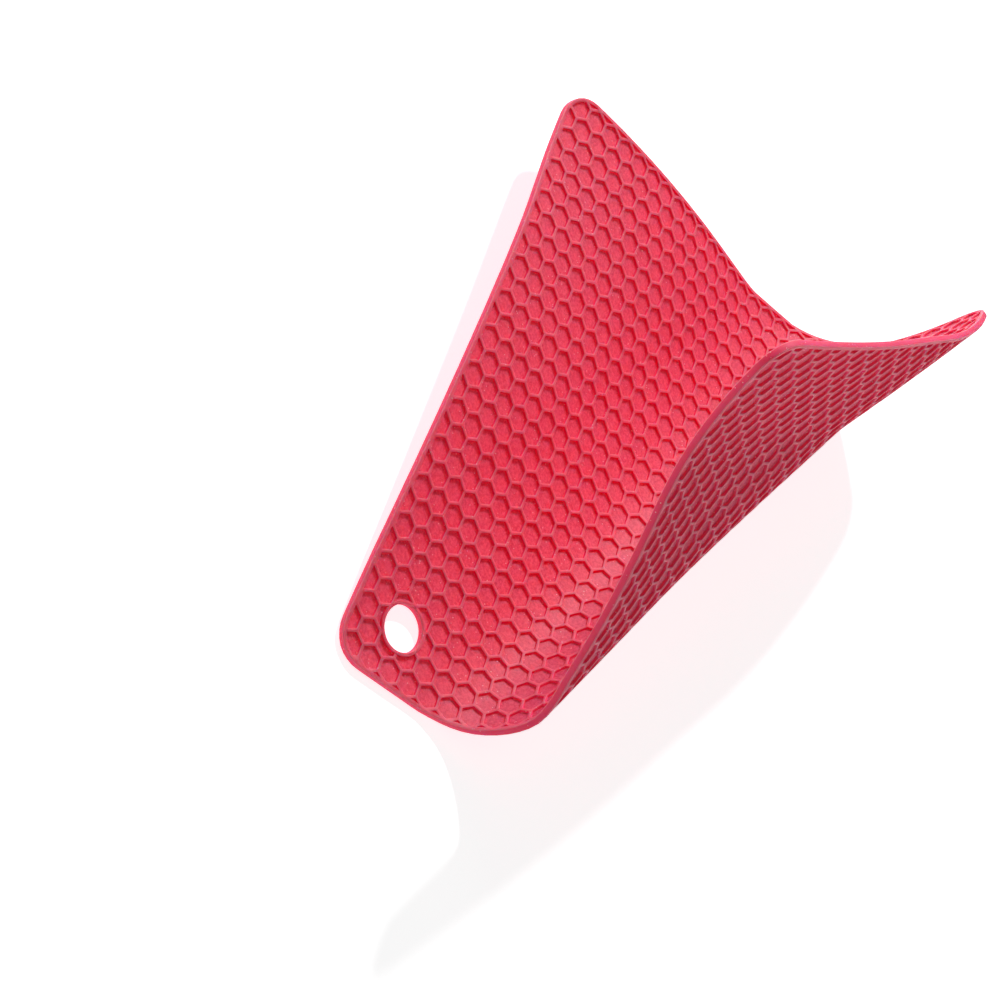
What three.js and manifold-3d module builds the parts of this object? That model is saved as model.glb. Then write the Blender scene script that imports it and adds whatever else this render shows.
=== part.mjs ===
// A square silicone trivet, moulded in one piece, bent over on itself in one soft fold.
// Millimetres, +Z up. The origin lies under the middle of the part, on the surface that it rests on.
// A point of the flat sheet is (u, v, w): u runs from the edge beside the hanging hole to the opposite
// edge, v from the near edge to the far edge, and w is the height over the middle of the thickness,
// towards the face that ends up inside the fold.

import * as THREE from 'three';
import { mergeVertices } from 'three/addons/utils/BufferGeometryUtils.js';
import Module from 'manifold-3d';

// Sizes of the flat moulding
const SIDE = 178;
const THICKNESS = 2;
const CORNER_RADIUS = 9.5;
const HOLE = { u: 16.8, v: 16.1, radius: 6, sides: 28 };
const PLUG_HEIGHT = 12;

// Grid of the sheet
const COLUMNS = 60;
const MIDDLE_ROWS = 22;
const CORNER_ROWS = 3;

// Gentle bends over the flat sheet, each a band of crease lines that opens like a fan.
// u, v: middle of the band; heading: of its middle line, in degrees from +v towards +u; fan: how far
// the heading swings across the band; width: of the band; turn: in degrees, towards the inner face.
const GENTLE_BENDS = [
  { name: 'dip of the far edge', u: 157, v: 191.5, heading: 70, fan: 8, width: 57.5, turn: -5.1 },
  { name: 'lift of the far tip', u: 103.5, v: 190, heading: 6, fan: -8.5, width: 59.5, turn: 14.6 },
  { name: 'curve of the right wing', u: 141, v: -104, heading: 0, fan: -14, width: 55.5, turn: -9.1 },
  { name: 'droop beside the hole', u: 69.5, v: -35, heading: -15, fan: 12.5, width: 55.5, turn: -7 },
  { name: 'bow across the fold', u: 114.5, v: 88, heading: 120.5, fan: 39, width: 121.5, turn: 12.7 },
  { name: 'bow along the fold', u: 103, v: 92, heading: 147.5, fan: -40, width: 136, turn: -22.5 },
  { name: 'curl of the far corner', u: 217.5, v: 204.5, heading: 82.5, fan: -40, width: 195, turn: 20.9 },
  { name: 'sweep of the left wing', u: 63.5, v: 131.5, heading: 62.5, fan: -33, width: 141.5, turn: -19.8 },
];
const GENTLE_STEPS = 24;

// The main fold: crease lines from the near edge (u = near, v = 0) to the far edge (u = far, v = SIDE),
// and the angle that the sheet turns between a line and the next one, in degrees.
const MAIN_FOLD = [
  { near: -7.5, far: 90.5, turn: 14 },
  { near: 34, far: 106, turn: 14 },
  { near: 45, far: 117.5, turn: 38.5 },
  { near: 56, far: 137.5, turn: 32.5 },
  { near: 69, far: 150, turn: 29 },
  { near: 76.5, far: 198.5, turn: 12.5 },
  { near: 85.5, far: 243, turn: -5.5 },
  { near: 93.5, far: 277, turn: 0 },
];
const STEPS_PER_LINE = 10;

// How the bent sheet lies: turned about X, then Y, then Z, and moved over the origin.
// It would reach a little below the surface at its two feet, so it is pressed flat there.
const REST = { tiltX: 6, tiltY: 14.3, turnZ: 41.6, x: 31.7, y: -119.8, z: 6.1 };

// How often the search for a point's place between the crease lines halves its range
const SEARCH_STEPS = 24;

const radians = THREE.MathUtils.degToRad;

// A turn about the line through (x, y) along (dx, dy) in the plane of the flat sheet
function hinge(line, angle) {
  const axis = new THREE.Vector3(line.dx, line.dy, 0).normalize();
  const there = new THREE.Matrix4().makeTranslation(line.x, line.y, 0);
  const back = new THREE.Matrix4().makeTranslation(-line.x, -line.y, 0);
  const turn = new THREE.Matrix4().makeRotationAxis(axis, angle);
  return there.multiply(turn).multiply(back);
}

// Positive where the point lies on the far side of the line, away from the fixed part of the sheet
function beyond(line, point) {
  return (point.x - line.x) * line.dy - (point.y - line.y) * line.dx;
}

// A bend over a family of crease lines: lineAt(s) and turnAt(s) for s from 0 to 1.
// The part before the first line stays fixed; a point between two lines turns with the lines passed.
function makeBend(lineAt, turnAt, steps) {
  const stops = [new THREE.Matrix4()];
  for (let k = 0; k < steps; k += 1) {
    const angle = turnAt((k + 1) / steps) - turnAt(k / steps);
    const crease = hinge(lineAt((k + 0.5) / steps), -radians(angle));
    stops.push(stops[k].clone().multiply(crease));
  }
  return (point) => {
    let low = 0;
    let high = 1;
    for (let n = 0; n < SEARCH_STEPS; n += 1) {
      const middle = (low + high) / 2;
      if (beyond(lineAt(middle), point) > 0) low = middle;
      else high = middle;
    }
    const place = low * steps;
    const k = Math.floor(place);
    const before = point.clone().applyMatrix4(stops[k]);
    const after = point.clone().applyMatrix4(stops[k + 1]);
    return before.lerp(after, place - k);
  };
}

function makeGentleBend({ u, v, heading, fan, width, turn }) {
  const across = { x: Math.cos(radians(heading)), y: -Math.sin(radians(heading)) };
  const lineAt = (s) => {
    const angle = radians(heading + fan * (s - 0.5));
    const offset = width * (s - 0.5);
    return { x: u + offset * across.x, y: v + offset * across.y, dx: Math.sin(angle), dy: Math.cos(angle) };
  };
  const turnAt = (s) => turn * s * s * (3 - 2 * s);
  return makeBend(lineAt, turnAt, GENTLE_STEPS);
}

function makeMainFold(rows) {
  const spans = rows.length - 1;
  const rowAt = (s) => {
    const k = Math.min(Math.floor(s * spans), spans - 1);
    return { row: rows[k], next: rows[k + 1], part: s * spans - k, k };
  };
  const lineAt = (s) => {
    const { row, next, part } = rowAt(s);
    const near = row.near + (next.near - row.near) * part;
    const far = row.far + (next.far - row.far) * part;
    return { x: near, y: 0, dx: far - near, dy: SIDE };
  };
  const turnAt = (s) => {
    const { row, part, k } = rowAt(s);
    const passed = rows.slice(0, k).reduce((sum, each) => sum + each.turn, 0);
    return passed + row.turn * part;
  };
  return makeBend(lineAt, turnAt, spans * STEPS_PER_LINE);
}

const bends = [...GENTLE_BENDS.map(makeGentleBend), makeMainFold(MAIN_FOLD)];

const restTurn = new THREE.Euler(radians(REST.tiltX), radians(REST.tiltY), radians(REST.turnZ), 'ZYX');
const restPlace = new THREE.Matrix4().makeRotationFromEuler(restTurn).setPosition(REST.x, REST.y, REST.z);

function bendPoint(u, v, w) {
  const bent = bends.reduce((point, bend) => bend(point), new THREE.Vector3(u, v, w));
  return bent.applyMatrix4(restPlace);
}

// A point of the sheet as it lies, lifted where its outer face would reach below the surface
function layPoint(u, v, w) {
  const point = bendPoint(u, v, w);
  const outer = bendPoint(u, v, -THICKNESS / 2);
  point.z += Math.max(-outer.z, 0);
  return point;
}

// How far a row's ends draw in where the corners are rounded
function cornerInset(v) {
  const depth = CORNER_RADIUS - Math.min(v, SIDE - v);
  return depth > 0 ? CORNER_RADIUS - Math.sqrt(CORNER_RADIUS ** 2 - depth ** 2) : 0;
}

// Rows of the grid: close together round the corners, even between them
function rowPlaces() {
  const places = [];
  for (let k = 0; k < CORNER_ROWS; k += 1) {
    const angle = (k / CORNER_ROWS) * (Math.PI / 2);
    places.push(CORNER_RADIUS * (1 - Math.cos(angle)));
  }
  const far = places.map((place) => SIDE - place).reverse();
  for (let k = 0; k <= MIDDLE_ROWS; k += 1) {
    places.push(CORNER_RADIUS + (SIDE - 2 * CORNER_RADIUS) * (k / MIDDLE_ROWS));
  }
  return [...places, ...far];
}

// The bent sheet as a closed mesh: inner face, outer face and the wall round the edge
function bentSheet() {
  const rows = rowPlaces();
  const perRow = COLUMNS + 1;
  const perFace = rows.length * perRow;
  const positions = [];
  for (const w of [THICKNESS / 2, -THICKNESS / 2]) {
    for (const v of rows) {
      const inset = cornerInset(v);
      for (let i = 0; i <= COLUMNS; i += 1) {
        const u = inset + (SIDE - 2 * inset) * (i / COLUMNS);
        positions.push(...layPoint(u, v, w).toArray());
      }
    }
  }
  const at = (i, j) => j * perRow + i;
  const indices = [];
  for (let j = 0; j < rows.length - 1; j += 1) {
    for (let i = 0; i < COLUMNS; i += 1) {
      const [a, b, c, d] = [at(i, j), at(i + 1, j), at(i + 1, j + 1), at(i, j + 1)];
      indices.push(a, b, c, a, c, d);
      indices.push(a + perFace, c + perFace, b + perFace, a + perFace, d + perFace, c + perFace);
    }
  }
  const rim = [];
  for (let i = 0; i < COLUMNS; i += 1) rim.push(at(i, 0));
  for (let j = 0; j < rows.length - 1; j += 1) rim.push(at(COLUMNS, j));
  for (let i = COLUMNS; i > 0; i -= 1) rim.push(at(i, rows.length - 1));
  for (let j = rows.length - 1; j > 0; j -= 1) rim.push(at(0, j));
  rim.forEach((a, k) => {
    const b = rim[(k + 1) % rim.length];
    indices.push(a, a + perFace, b + perFace, a, b + perFace, b);
  });
  const geometry = new THREE.BufferGeometry();
  geometry.setAttribute('position', new THREE.Float32BufferAttribute(positions, 3));
  geometry.setIndex(indices);
  return geometry;
}

// A plug square to the sheet where the hanging hole goes
function holePlug() {
  const middle = layPoint(HOLE.u, HOLE.v, 0);
  const above = layPoint(HOLE.u, HOLE.v, THICKNESS);
  const up = above.sub(middle).normalize();
  const plug = new THREE.CylinderGeometry(HOLE.radius, HOLE.radius, PLUG_HEIGHT, HOLE.sides);
  plug.applyQuaternion(new THREE.Quaternion().setFromUnitVectors(new THREE.Vector3(0, 1, 0), up));
  plug.translate(middle.x, middle.y, middle.z);
  return plug;
}

// Vertices closer together than this are one
const SAME_POINT = 1e-4;

const wasm = await Module();
wasm.setup();

function toSolid(geometry) {
  const bare = geometry.clone();
  bare.deleteAttribute('normal');
  bare.deleteAttribute('uv');
  const merged = mergeVertices(bare, SAME_POINT);
  const mesh = new wasm.Mesh({
    numProp: 3,
    vertProperties: new Float32Array(merged.attributes.position.array),
    triVerts: new Uint32Array(merged.index.array),
  });
  return new wasm.Manifold(mesh);
}

function toGeometry(solid) {
  const mesh = solid.getMesh();
  const geometry = new THREE.BufferGeometry();
  geometry.setAttribute('position', new THREE.Float32BufferAttribute(mesh.vertProperties, mesh.numProp));
  geometry.setIndex([...mesh.triVerts]);
  return geometry;
}

const silicone = new THREE.MeshStandardMaterial({ color: 0xd8394f, roughness: 0.6, metalness: 0 });

const body = toGeometry(toSolid(bentSheet()).subtract(toSolid(holePlug())));
body.computeVertexNormals();
const mat = new THREE.Mesh(body, silicone);
mat.name = 'mat';

const trivet = new THREE.Group();
trivet.add(mat);

export default trivet;
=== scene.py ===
import math

import bpy
import numpy as np
from mathutils import Euler, Matrix, Vector
from mathutils.geometry import delaunay_2d_cdt


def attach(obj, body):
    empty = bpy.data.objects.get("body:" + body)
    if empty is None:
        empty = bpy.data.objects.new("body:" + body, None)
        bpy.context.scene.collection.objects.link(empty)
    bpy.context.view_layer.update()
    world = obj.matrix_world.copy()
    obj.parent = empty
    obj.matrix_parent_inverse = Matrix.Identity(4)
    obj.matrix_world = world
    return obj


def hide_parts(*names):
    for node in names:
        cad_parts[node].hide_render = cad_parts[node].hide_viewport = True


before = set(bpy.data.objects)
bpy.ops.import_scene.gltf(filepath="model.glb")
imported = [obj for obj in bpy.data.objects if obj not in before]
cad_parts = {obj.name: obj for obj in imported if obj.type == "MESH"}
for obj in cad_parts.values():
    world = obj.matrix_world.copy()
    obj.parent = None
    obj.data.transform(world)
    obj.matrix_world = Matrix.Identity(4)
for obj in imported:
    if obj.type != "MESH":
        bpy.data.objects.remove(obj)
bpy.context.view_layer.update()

MM = 0.001

# Sizes of the flat moulding, in millimetres
SIDE = 178.0
HALF_THICKNESS = 1.0
CORNER_RADIUS = 9.5
HOLE_U = 16.8
HOLE_V = 16.1
HOLE_RADIUS = 6.0
EDGE_ROUND = 0.25
HOLE_ROUND = 0.25

# The honeycomb, in millimetres: its spacing, the width of its ribs, the depth of its pockets and the
# plain rim round it
CELL = 6.5
RIB = 0.86
RECESS = 0.74
RIM = 1.1

# The collar of the hole, in millimetres: its width, how far it stands up, and the slope beside it
COLLAR = 1.05
COLLAR_RISE = 0.16
COLLAR_BEVEL = 0.12

# The walls of the pockets, in millimetres: width and depth of the worn bevel, and the slope below it
WALL_BEVEL = 0.1
BEVEL_DROP = 0.08
WALL_DRAFT = 0.05

# Pockets smaller than this are left out, in square millimetres
SMALLEST_POCKET = 0.8

# The two faces: which way they look, the height of the first row of cells, where its cells begin and
# where those of the row after it begin, all in cells, and how far the collar stands up
INNER_FACE = {"up": 1, "row": 0.648, "even": 0.692, "odd": 0.192, "collar": COLLAR_RISE}
OUTER_FACE = {"up": -1, "row": 0.566, "even": 0.962, "odd": 0.462, "collar": 0.0}

# Relief of a point, from the floor of a pocket to the top of the ribs
FLOOR = 0.0
BEVEL = 0.9
TOP = 1.0

# Painted light on the silicone, as levels: painted shade on the walls with no pale haze, some pale haze on
# flat places as a painted reflection, most on the bevelled and rounded edges as a painted highlight
PAINTED_SHADE = 0.0
PAINTED_HAZE = 1.0
PAINTED_EDGE_HIGHLIGHT = 2.0

# Points along a straight side, round a corner, round the hole, over a rounded edge
SIDE_STEPS = 54
CORNER_STEPS = 8
HOLE_STEPS = 56
ROUND_STEPS = 3

# The rings of a face, which come before the outlines of its pockets, and the mark of its top
EDGE_RING, COLLAR_RING, BORE_RING, COLLAR_TOP_RING = range(4)
NO_POCKET = -1

# Points closer together than this are one, in millimetres
SAME_POINT = 1e-5

# The least divisor in a corner's offset, so that a sharp corner isn't pushed far out
SHARP_CORNER_LIMIT = 0.4

# Edges that turn by more than this are shaded as sharp, in degrees
SHARP_ANGLE = 50

# Gentle bends: the band's middle u and v, its heading in degrees from +v towards +u, how far the
# heading swings across the band, the band's width, and the turn in degrees towards the inner face
GENTLE_BENDS = {
    "dip of the far edge": (157, 191.5, 70, 8, 57.5, -5.1),
    "lift of the far tip": (103.5, 190, 6, -8.5, 59.5, 14.6),
    "curve of the right wing": (141, -104, 0, -14, 55.5, -9.1),
    "droop beside the hole": (69.5, -35, -15, 12.5, 55.5, -7),
    "bow across the fold": (114.5, 88, 120.5, 39, 121.5, 12.7),
    "bow along the fold": (103, 92, 147.5, -40, 136, -22.5),
    "curl of the far corner": (217.5, 204.5, 82.5, -40, 195, 20.9),
    "sweep of the left wing": (63.5, 131.5, 62.5, -33, 141.5, -19.8),
}
GENTLE_STEPS = 24

# The main fold: where each crease line meets the near and the far edge, and the turn up to the next
MAIN_FOLD = {
    "near": (-7.5, 34, 45, 56, 69, 76.5, 85.5, 93.5),
    "far": (90.5, 106, 117.5, 137.5, 150, 198.5, 243, 277),
    "turn": (14, 14, 38.5, 32.5, 29, 12.5, -5.5, 0),
}
STEPS_PER_LINE = 10
SEARCH_STEPS = 26

# How the bent sheet lies: its turns about X, Y and Z in degrees, and its place
REST_ANGLES = (6, 14.3, 41.6)
REST_PLACE = (31.7, -119.8, 6.1)

# Colours, as linear red, green, blue and alpha
# Pockets: deep and pale tones vary at random; their pinkish haze is partly a painted reflection
POCKET_DEEP = (0.64, 0.014, 0.098, 1.0)
POCKET_PALE = (0.82, 0.094, 0.188, 1.0)
# Ribs: paler and pinker than the pockets as a painted highlight on their tops; deep and pale vary at random
RIB_DEEP = (0.83, 0.084, 0.168, 1.0)
RIB_PALE = (0.88, 0.112, 0.196, 1.0)
# Painted shade: the saturated crimson of the pocket walls and of the sheet's side wall, with no pale haze
SHADED_WALL_RED = (0.88, 0.002, 0.110, 1.0)
# Painted highlight: the pale pink of the rib bevels and the rounded edges
EDGE_HIGHLIGHT_PINK = (0.90, 0.20, 0.28, 1.0)
DUST_PINK = (0.88, 0.55, 0.62, 1.0)
FLOOR_DIM = (0.86, 0.86, 0.86, 1.0)
FLOOR_BRIGHT = (0.90, 0.90, 0.90, 1.0)
WHITE = (1.0, 1.0, 1.0, 1.0)

# The surface below, in metres
FLOOR_SIDE = 14.0

# Lights: their direction from the mat, distance and diameter in metres, power in watts
LIGHTS = {
    "key": {"direction": (-0.60, 0.50, 0.62), "distance": 1.6, "size": 0.08, "power": 17.5},
    "left": {"direction": (-0.95, 0.3, 0.2), "distance": 1.6, "size": 0.8, "power": 2.5},
    "overhead": {"direction": (0.1, 0.15, 1.0), "distance": 1.8, "size": 2.0, "power": 1.2},
}
LIGHT_AIM = (0, 0, 0.04)
WORLD_STRENGTH = 0.2

# The camera: place and clipping distances in metres, turn in degrees, lens and sensor in millimetres
CAMERA_PLACE = (0.02014, -0.51054, 0.49507)
CAMERA_ANGLES = (17.358, -39.939, 63.992)
CAMERA_LENS = 91.269
CAMERA_SENSOR = 36.0
CAMERA_NEAR = 0.01
CAMERA_FAR = 50.0


# The bends


def hinge(x, y, dx, dy, angle):
    """A turn about the line through (x, y) along (dx, dy) in the plane of the flat sheet."""
    axis = Vector((dx, dy, 0.0)).normalized()
    turn = Matrix.Rotation(angle, 4, axis)
    return Matrix.Translation((x, y, 0.0)) @ turn @ Matrix.Translation((-x, -y, 0.0))


def bend(points, line_at, turn_at, steps):
    """Turns each point with the crease lines that it lies beyond, as the part's source does."""
    stops = [Matrix.Identity(4)]
    for k in range(steps):
        angle = turn_at((k + 1) / steps) - turn_at(k / steps)
        line = [float(value) for value in line_at(np.array((k + 0.5) / steps))]
        stops.append(stops[k] @ hinge(*line, -math.radians(float(angle))))
    stops = np.array([[list(row) for row in stop] for stop in stops])
    low = np.zeros(len(points))
    high = np.ones(len(points))
    for _ in range(SEARCH_STEPS):
        middle = (low + high) / 2
        x, y, dx, dy = line_at(middle)
        past = (points[:, 0] - x) * dy - (points[:, 1] - y) * dx > 0
        low = np.where(past, middle, low)
        high = np.where(past, high, middle)
    k = np.floor(low * steps).astype(int)
    part = (low * steps - k)[:, None]
    before = np.einsum("nij,nj->ni", stops[k][:, :3, :3], points) + stops[k][:, :3, 3]
    after = np.einsum("nij,nj->ni", stops[k + 1][:, :3, :3], points) + stops[k + 1][:, :3, 3]
    return before + (after - before) * part


def gentle_bend(points, u, v, heading, fan, width, turn):
    across = (math.cos(math.radians(heading)), -math.sin(math.radians(heading)))

    def line_at(s):
        angle = np.radians(heading + fan * (s - 0.5))
        offset = width * (s - 0.5)
        return u + offset * across[0], v + offset * across[1], np.sin(angle), np.cos(angle)

    def turn_at(s):
        return turn * s * s * (3 - 2 * s)

    return bend(points, line_at, turn_at, GENTLE_STEPS)


def main_fold(points, near, far, turn):
    spans = len(near) - 1
    knots = np.linspace(0, 1, spans + 1)
    passed = np.concatenate([[0.0], np.cumsum(turn[:spans])])

    def line_at(s):
        start = np.interp(s, knots, near)
        end = np.interp(s, knots, far)
        return start, 0 * start, end - start, SIDE + 0 * start

    def turn_at(s):
        return np.interp(s, knots, passed)

    return bend(points, line_at, turn_at, spans * STEPS_PER_LINE)


rest = Matrix.Translation(REST_PLACE) @ Euler([math.radians(a) for a in REST_ANGLES]).to_matrix().to_4x4()
rest = np.array([list(row) for row in rest])


def bent(points):
    for row in GENTLE_BENDS.values():
        points = gentle_bend(points, *row)
    points = main_fold(points, **MAIN_FOLD)
    return points @ rest[:3, :3].T + rest[:3, 3]


def laid(points):
    """Points of the sheet as it lies, in metres, lifted where its outer face reaches below the surface."""
    outer = points.copy()
    outer[:, 2] = -HALF_THICKNESS
    lift = np.maximum(-bent(outer)[:, 2], 0)
    placed = bent(points)
    placed[:, 2] += lift
    return placed * MM


# Outlines in the flat sheet


def rounded_square(inset):
    core = SIDE - 2 * CORNER_RADIUS
    reach = CORNER_RADIUS - inset
    quarter = [(core * (k / SIDE_STEPS - 0.5), -core / 2 - reach) for k in range(SIDE_STEPS)]
    for k in range(CORNER_STEPS):
        angle = math.pi / 2 * k / CORNER_STEPS
        quarter.append((core / 2 + reach * math.sin(angle), -core / 2 - reach * math.cos(angle)))
    quarter = np.array(quarter)
    ring = []
    for n in range(4):
        cosine = round(math.cos(math.pi / 2 * n))
        sine = round(math.sin(math.pi / 2 * n))
        ring.append(quarter @ np.array([[cosine, sine], [-sine, cosine]]))
    return np.vstack(ring) + SIDE / 2


def circle(radius):
    angles = np.arange(HOLE_STEPS) * 2 * math.pi / HOLE_STEPS
    return np.column_stack([HOLE_U + radius * np.cos(angles), HOLE_V + radius * np.sin(angles)])


def hole_edge(inset):
    return circle(HOLE_RADIUS + inset)


def hexagon(u, v):
    """A pocket's outline, with a point in the middle of each side."""
    apothem = (CELL - RIB) / 2
    reach = apothem / math.cos(math.radians(30))
    points = []
    for k in range(6):
        corner = math.radians(30 + 60 * k)
        side = math.radians(60 + 60 * k)
        points.append((u + reach * math.cos(corner), v + reach * math.sin(corner)))
        points.append((u + apothem * math.cos(side), v + apothem * math.sin(side)))
    return np.array(points)


def clipped(polygon, border):
    """The part of a polygon that lies inside a convex border."""
    polygon = [tuple(point) for point in polygon]
    for k in range(len(border)):
        ax, ay = border[k - 1]
        ex, ey = border[k][0] - ax, border[k][1] - ay
        sides = [ex * (y - ay) - ey * (x - ax) for x, y in polygon]
        if min(sides) >= 0:
            continue
        kept = []
        for n, (x, y) in enumerate(polygon):
            before, here = sides[n - 1], sides[n]
            if (before < 0) != (here < 0):
                share = before / (before - here)
                px, py = polygon[n - 1]
                kept.append((px + (x - px) * share, py + (y - py) * share))
            if here >= 0:
                kept.append((x, y))
        polygon = kept
        if len(polygon) < 3:
            return []
    return polygon


def polygon_area(polygon):
    x, y = np.array(polygon).T
    return abs(np.dot(x, np.roll(y, -1)) - np.dot(y, np.roll(x, -1))) / 2


def pockets(face):
    """Outlines of the honeycomb's pockets on a face, cut off along the rim, with their middles."""
    border = rounded_square(RIM)
    row_height = CELL * math.sqrt(3) / 2
    found = []
    for k in range(int(SIDE / row_height) + 3):
        v = (face["row"] - math.sqrt(3) / 2) * CELL + row_height * k
        first = face["odd"] if k % 2 == 0 else face["even"]
        for n in range(-1, int(SIDE / CELL) + 2):
            u = (first + n) * CELL
            if not (-CELL < u < SIDE + CELL and -CELL < v < SIDE + CELL):
                continue
            outline = hexagon(u, v)
            if min(u, v, SIDE - u, SIDE - v) < CORNER_RADIUS:
                outline = clipped(outline, border)
            if len(outline) and polygon_area(outline) > SMALLEST_POCKET:
                found.append((np.array(outline), np.array(outline).mean(axis=0)))
    return found


# One face of the sheet: a top of ribs, rim and collar, with a floor and walls in each pocket


class SheetMesh:
    def __init__(self):
        self.points = []
        self.faces = []
        self.relief = []
        self.painted_light = []

    def add(self, u, v, w, relief):
        self.points.append((u, v, w))
        self.relief.append(relief)
        return len(self.points) - 1

    def face(self, corners, up, painted_light=PAINTED_HAZE):
        self.faces.append(tuple(corners) if up > 0 else tuple(reversed(corners)))
        self.painted_light += [painted_light] * len(corners)


def face_layout(face):
    """Triangles of the flat face, each with the pocket that it is the floor of, or the mark of the top."""
    rings = [
        rounded_square(EDGE_ROUND),
        circle(HOLE_RADIUS + COLLAR),
        circle(HOLE_RADIUS + HOLE_ROUND),
        circle(HOLE_RADIUS + COLLAR - COLLAR_BEVEL),
    ]
    cells = pockets(face)
    flat = []
    loops = []
    for ring in rings + [outline for outline, _ in cells]:
        loops.append(list(range(len(flat), len(flat) + len(ring))))
        flat += [Vector(point) for point in ring]
    for outline, middle in cells:
        if math.hypot(middle[0] - HOLE_U, middle[1] - HOLE_V) > HOLE_RADIUS + COLLAR + CELL / 2:
            flat.append(Vector(middle))
    layout = delaunay_2d_cdt(flat, [], loops, 1, SAME_POINT)
    points, _, triangles, from_points, _, from_faces = layout
    here = {}
    for index, sources in enumerate(from_points):
        for source in sources:
            here[source] = index
    kept = []
    pocket_of = []
    for triangle, sources in zip(triangles, from_faces):
        if BORE_RING in sources:
            continue
        in_pocket = max(sources) > COLLAR_TOP_RING and COLLAR_RING not in sources
        kept.append(tuple(triangle))
        pocket_of.append(max(sources) if in_pocket else NO_POCKET)
    points = np.array([tuple(point) for point in points])
    corners = points[np.array(kept)]
    sides = corners[:, 1:] - corners[:, :1]
    areas = (sides[:, 0, 0] * sides[:, 1, 1] - sides[:, 0, 1] * sides[:, 1, 0]) / 2
    pocket_of = np.array(pocket_of)
    totals = np.bincount(pocket_of - NO_POCKET, areas)
    pocket_of[totals[pocket_of - NO_POCKET] < SMALLEST_POCKET] = NO_POCKET
    outer_ring = [here[k] for k in loops[EDGE_RING]]
    hole_ring = [here[k] for k in loops[BORE_RING]]
    return points, kept, pocket_of, outer_ring, hole_ring


def corner_offset(before, here, after):
    """Sideways step, out of the pocket, that keeps both sides of a corner parallel."""
    first = here - before
    second = after - here
    first = np.array([first[1], -first[0]]) / np.hypot(*first)
    second = np.array([second[1], -second[0]]) / np.hypot(*second)
    return (first + second) / max(1 + float(first @ second), SHARP_CORNER_LIMIT)


def add_face(sheet, face):
    """Adds a face with its pockets; returns the points of its outer ring and of its hole."""
    up = face["up"]
    points, triangles, pocket_of, outer_ring, hole_ring = face_layout(face)
    inside = {}
    for triangle, cell in zip(triangles, pocket_of):
        for k in range(3):
            inside[triangle[k - 1], triangle[k]] = cell
    after = {}
    before = {}
    for (a, b), cell in inside.items():
        if cell != NO_POCKET and inside.get((b, a), NO_POCKET) == NO_POCKET:
            after[a] = b
            before[b] = a
    top_w = up * HALF_THICKNESS
    bevel_w = up * (HALF_THICKNESS - BEVEL_DROP)
    floor_w = up * (HALF_THICKNESS - RECESS)
    top, bevel, floor = {}, {}, {}
    for a in after:
        step = corner_offset(points[before[a]], points[a], points[after[a]])
        top[a] = sheet.add(*(points[a] + step * WALL_BEVEL), top_w, TOP)
        bevel[a] = sheet.add(*points[a], bevel_w, BEVEL)
        floor[a] = sheet.add(*(points[a] - step * WALL_DRAFT), floor_w, FLOOR)
    for triangle, cell in zip(triangles, pocket_of):
        on_top = cell == NO_POCKET
        level, w, relief = (top, top_w, TOP) if on_top else (floor, floor_w, FLOOR)
        for a in triangle:
            if a not in level:
                from_hole = math.hypot(points[a][0] - HOLE_U, points[a][1] - HOLE_V)
                on_collar = on_top and from_hole < HOLE_RADIUS + COLLAR - COLLAR_BEVEL / 2
                level[a] = sheet.add(*points[a], w + up * face["collar"] * on_collar, relief)
        sheet.face([level[a] for a in triangle], up)
    for a, b in after.items():
        # Bevels get the painted edge highlight, pocket walls the painted shade
        sheet.face([top[a], top[b], bevel[b], bevel[a]], up, PAINTED_EDGE_HIGHLIGHT)
        sheet.face([bevel[a], bevel[b], floor[b], floor[a]], up, PAINTED_SHADE)
    return [top[a] for a in outer_ring], [top[a] for a in hole_ring]


def edge_profile(round_size):
    """Rows from the inner face to the outer face: how far in from the edge, and the height."""
    rows = []
    for k in range(1, ROUND_STEPS + 1):
        angle = math.pi / 2 * k / ROUND_STEPS
        inset = round_size * (1 - math.sin(angle))
        rows.append((inset, HALF_THICKNESS - round_size * (1 - math.cos(angle))))
    return rows + [(inset, -w) for inset, w in reversed(rows)]


def add_band(sheet, first, last, rows, ring_at, up):
    """Joins the two faces over a rounded edge; the strip in its middle is the straight wall."""
    rings = [first]
    for inset, w in rows:
        rings.append([sheet.add(u, v, w, TOP) for u, v in ring_at(inset)])
    rings.append(last)
    for n, (high, low) in enumerate(zip(rings, rings[1:])):
        # The rounded rows get the painted edge highlight, the straight wall in the middle gets the painted
        # shade
        painted_light = PAINTED_SHADE if n == ROUND_STEPS else PAINTED_EDGE_HIGHLIGHT
        for k in range(len(high)):
            sheet.face([high[k], high[k - 1], low[k - 1], low[k]], up, painted_light)


def add_object(name, data):
    thing = bpy.data.objects.new(name, data)
    bpy.context.scene.collection.objects.link(thing)
    return thing


# The mat, with its relief, its painted shade, haze and highlight, and its plan kept on the mesh for the
# material

sheet = SheetMesh()
inner_edge, inner_hole = add_face(sheet, INNER_FACE)
outer_edge, outer_hole = add_face(sheet, OUTER_FACE)
add_band(sheet, inner_edge, outer_edge, edge_profile(EDGE_ROUND), rounded_square, 1)
add_band(sheet, inner_hole, outer_hole, edge_profile(HOLE_ROUND), hole_edge, -1)

flat_points = np.array(sheet.points)
mesh = bpy.data.meshes.new("trivet_mat")
mesh.from_pydata(laid(flat_points).tolist(), [], sheet.faces)
mesh.validate()
relief = mesh.attributes.new("relief", "FLOAT", "POINT")
relief.data.foreach_set("value", np.array(sheet.relief, dtype=np.float32))
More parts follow.
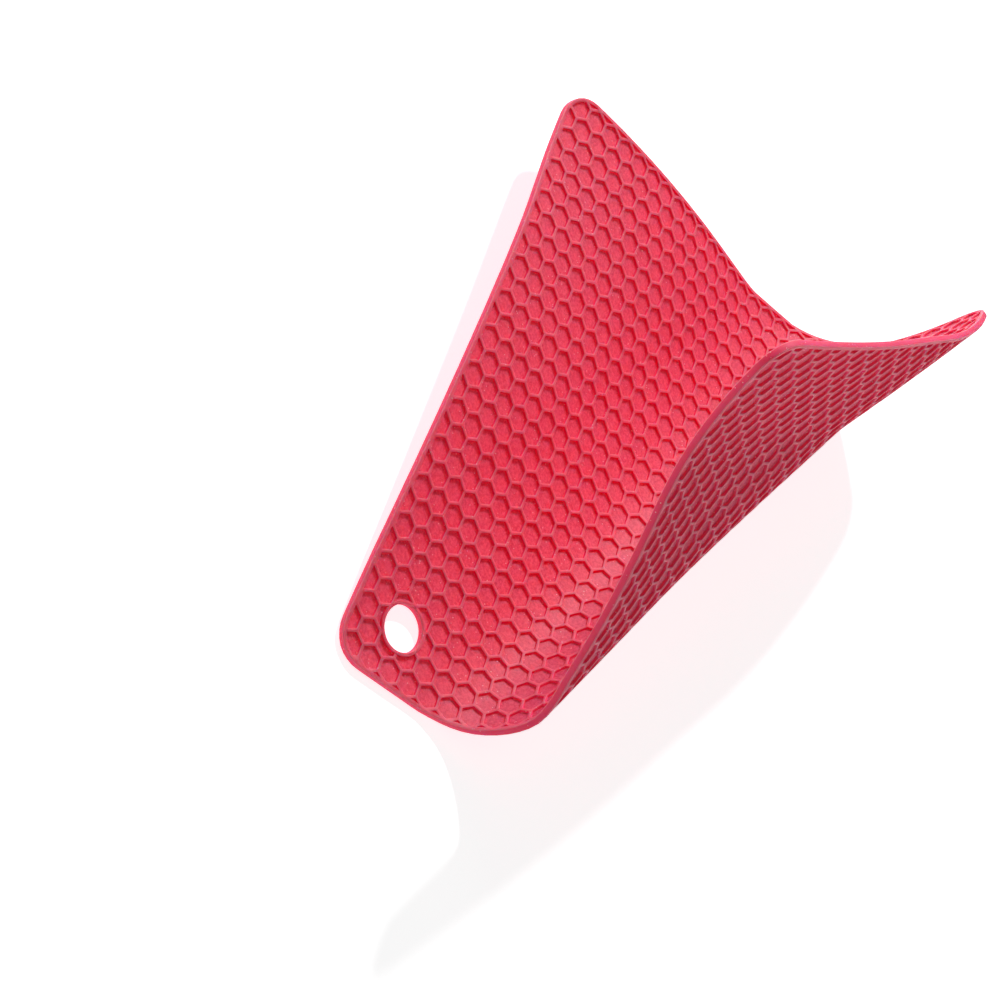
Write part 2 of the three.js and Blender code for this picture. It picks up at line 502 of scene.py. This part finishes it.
# Level of painted light at each corner: painted shade on walls, painted haze on flat places, painted
# highlight on edges
painted_light = mesh.attributes.new("painted_light", "FLOAT", "CORNER")
painted_light.data.foreach_set("value", np.array(sheet.painted_light, dtype=np.float32))
plan = mesh.uv_layers.new(name="plan")
loop_points = np.zeros(len(mesh.loops), dtype=np.int32)
mesh.loops.foreach_get("vertex_index", loop_points)
plan.data.foreach_set("uv", (flat_points[loop_points, :2] / SIDE).astype(np.float32).ravel())
mesh.polygons.foreach_set("use_smooth", [True] * len(mesh.polygons))
mesh.set_sharp_from_angle(angle=math.radians(SHARP_ANGLE))
mat = add_object("trivet_mat", mesh)


# Materials


class Nodes:
    def __init__(self, material):
        material.use_nodes = True
        self.tree = material.node_tree
        self.shader = self.tree.nodes["Principled BSDF"]

    def add(self, kind, inputs=None, **settings):
        node = self.tree.nodes.new(kind)
        for name, value in settings.items():
            setattr(node, name, value)
        for name, value in (inputs or {}).items():
            if isinstance(value, bpy.types.NodeSocket):
                self.tree.links.new(value, node.inputs[name])
            else:
                node.inputs[name].default_value = value
        return node

    def link(self, output, name):
        self.tree.links.new(output, self.shader.inputs[name])

    def attribute(self, name):
        return self.add("ShaderNodeAttribute", attribute_name=name).outputs["Fac"]

    def noise(self, place, scale, detail, roughness=0.5):
        inputs = {"Vector": place, "Scale": scale, "Detail": detail, "Roughness": roughness}
        return self.add("ShaderNodeTexNoise", inputs).outputs["Fac"]

    def ramp(self, value, start, end, low=0.0, high=1.0):
        """Goes evenly from low to high while the value goes from start to end."""
        inputs = {"Value": value, "From Min": start, "From Max": end, "To Min": low, "To Max": high}
        return self.add("ShaderNodeMapRange", inputs).outputs["Result"]

    def mix(self, factor, first, second):
        """The first colour where the factor is 0, the second where it is 1."""
        return self.add("ShaderNodeMix", {"Factor": factor, 6: first, 7: second}, data_type="RGBA").outputs[2]

    def bump(self, height, strength, distance, **below):
        inputs = {"Height": height, "Strength": strength, "Distance": distance, **below}
        return self.add("ShaderNodeBump", inputs).outputs["Normal"]


def silicone_material():
    """Red silicone: walls in painted shade, mottled pockets with painted haze, ribs paler as a painted
    highlight, edges with a painted highlight, a few specks of dust.
    """
    material = bpy.data.materials.new("red_silicone")
    nodes = Nodes(material)
    shader = nodes.shader
    place = nodes.add("ShaderNodeTexCoord").outputs["Object"]
    height = nodes.attribute("relief")
    painted_light = nodes.attribute("painted_light")
    # From the corner levels: painted shade on walls, painted haze on flat places, painted highlight on edges
    haze_not_shade = nodes.ramp(painted_light, start=PAINTED_SHADE, end=PAINTED_HAZE)
    edge_highlight = nodes.ramp(painted_light, start=PAINTED_HAZE, end=PAINTED_EDGE_HIGHLIGHT, high=0.5)
    mottle = nodes.noise(place, scale=1300.0, detail=4.0, roughness=0.7)
    cloud = nodes.noise(place, scale=38.0, detail=3.0)
    patches = nodes.ramp(mottle, start=0.36, end=0.64)
    floor_colour = nodes.mix(patches, POCKET_DEEP, POCKET_PALE)
    rib_sheen_colour = nodes.mix(cloud, RIB_DEEP, RIB_PALE)
    # Rib tops take the paler colour with painted sheen, pocket floors the mottled one
    body_colour = nodes.mix(height, floor_colour, rib_sheen_colour)
    shade_and_haze_colour = nodes.mix(haze_not_shade, SHADED_WALL_RED, body_colour)
    # Painted highlight mixed onto the bevels and rounded edges
    edge_colour = nodes.mix(edge_highlight, shade_and_haze_colour, EDGE_HIGHLIGHT_PINK)
    specks = nodes.add("ShaderNodeTexVoronoi", {"Vector": place, "Scale": 700.0, "Randomness": 1.0})
    speck_here = nodes.ramp(specks.outputs["Distance"], start=0.07, end=0.15, low=1.0, high=0.0)
    few = nodes.noise(place, scale=150.0, detail=1.0)
    few_here = nodes.ramp(few, start=0.45, end=0.54, high=0.8)
    dust = nodes.add("ShaderNodeMath", {0: speck_here, 1: few_here}, operation="MULTIPLY")
    colour = nodes.mix(dust.outputs["Value"], edge_colour, DUST_PINK)
    nodes.link(colour, "Base Color")
    nodes.link(nodes.ramp(mottle, start=0.3, end=0.7, low=0.6, high=0.7), "Roughness")
    grain = nodes.noise(place, scale=2600.0, detail=3.0, roughness=0.6)
    fine = nodes.bump(grain, strength=0.16, distance=0.00012)
    waves = nodes.bump(mottle, strength=0.25, distance=0.0003, Normal=fine)
    nodes.link(waves, "Normal")
    shader.inputs["IOR"].default_value = 1.5
    shader.inputs["Specular IOR Level"].default_value = 1.0
    shader.inputs["Subsurface Weight"].default_value = 1.0
    shader.inputs["Subsurface Radius"].default_value = (1.0, 0.05, 0.12)
    shader.inputs["Subsurface Scale"].default_value = 0.0018
    return material


def floor_material():
    """A white surface with a little light of its own, so that it stays as bright as the background."""
    material = bpy.data.materials.new("pale_floor")
    nodes = Nodes(material)
    place = nodes.add("ShaderNodeTexCoord").outputs["Object"]
    cloud = nodes.noise(place, scale=6.0, detail=2.0)
    nodes.link(nodes.mix(cloud, FLOOR_DIM, FLOOR_BRIGHT), "Base Color")
    nodes.shader.inputs["Roughness"].default_value = 0.9
    nodes.shader.inputs["Emission Color"].default_value = WHITE
    nodes.shader.inputs["Emission Strength"].default_value = 0.72
    nodes.shader.inputs["Specular IOR Level"].default_value = 0.2
    return material


mat.data.materials.append(silicone_material())
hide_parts("mat")
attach(mat, "root")

# Floor, lights and camera

half = FLOOR_SIDE / 2
floor_corners = [(-half, -half, 0), (half, -half, 0), (half, half, 0), (-half, half, 0)]
floor_mesh = bpy.data.meshes.new("floor")
floor_mesh.from_pydata(floor_corners, [], [(0, 1, 2, 3)])
floor = add_object("floor", floor_mesh)
floor.data.materials.append(floor_material())


def add_light(name, direction, distance, size, power):
    light = bpy.data.lights.new(name, "AREA")
    light.shape = "DISK"
    light.size = size
    light.energy = power
    lamp = add_object(name, light)
    towards = Vector(direction).normalized()
    lamp.location = towards * distance + Vector(LIGHT_AIM)
    lamp.rotation_euler = towards.to_track_quat("Z", "Y").to_euler()


for name, light in LIGHTS.items():
    add_light(name, **light)

world = bpy.data.worlds.new("soft studio")
bpy.context.scene.world = world
world.use_nodes = True
background = world.node_tree.nodes["Background"]
background.inputs["Color"].default_value = WHITE
background.inputs["Strength"].default_value = WORLD_STRENGTH

camera_data = bpy.data.cameras.new("camera")
camera_data.sensor_width = CAMERA_SENSOR
camera_data.sensor_fit = "HORIZONTAL"
camera_data.lens = CAMERA_LENS
camera_data.clip_start = CAMERA_NEAR
camera_data.clip_end = CAMERA_FAR
camera = add_object("camera", camera_data)
camera.location = CAMERA_PLACE
camera.rotation_euler = [math.radians(angle) for angle in CAMERA_ANGLES]
bpy.context.scene.camera = camera
bpy.context.scene.view_settings.view_transform = "Standard"
bpy.context.scene.view_settings.look = "None"

bpy.context.view_layer.update()
